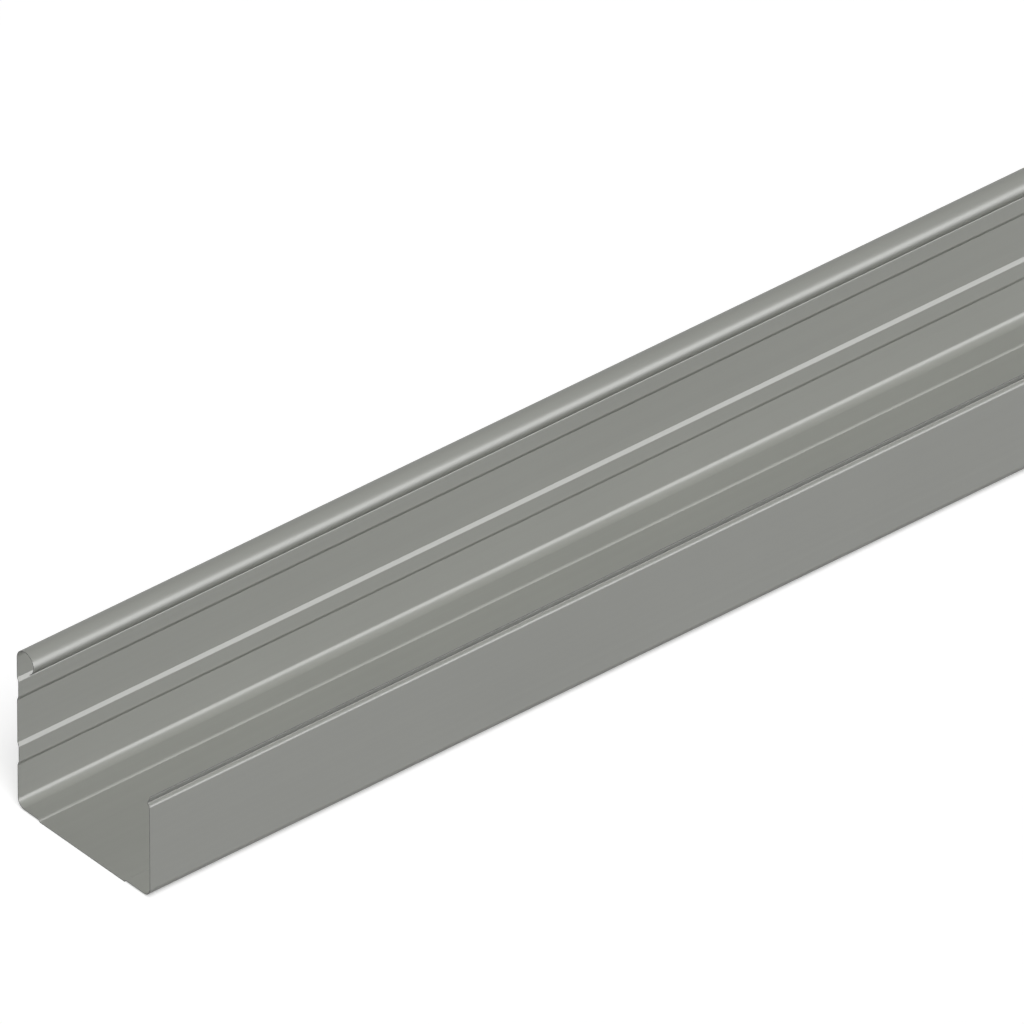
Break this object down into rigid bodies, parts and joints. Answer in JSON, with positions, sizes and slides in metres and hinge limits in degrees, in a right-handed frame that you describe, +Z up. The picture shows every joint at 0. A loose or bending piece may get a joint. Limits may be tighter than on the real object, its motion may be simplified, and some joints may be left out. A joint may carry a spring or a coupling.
{
  "type": "gutter section",
  "caption": "Square-line roll-formed steel eaves gutter section with a rolled front bead, swaged high front, low back with a flared lip and a channelled floor, open square-cut ends.",
  "frame": {"origin": "bottom centre of the bounding box, on the underside of the floor channel, where the gutter stands on a level floor", "axes": "+X along the gutter, +Y towards the high front wall with the bead, -Y towards the low back wall that goes against the fascia, +Z up"},
  "size_m": [2.4, 0.1254, 0.1188],
  "materials": {
    "coated_steel": "semi-gloss warm grey colour coat on thin galvanised steel strip"
  },
  "bodies": {
    "root": {"gutter_section": "coated_steel"}
  },
  "joints": []
}
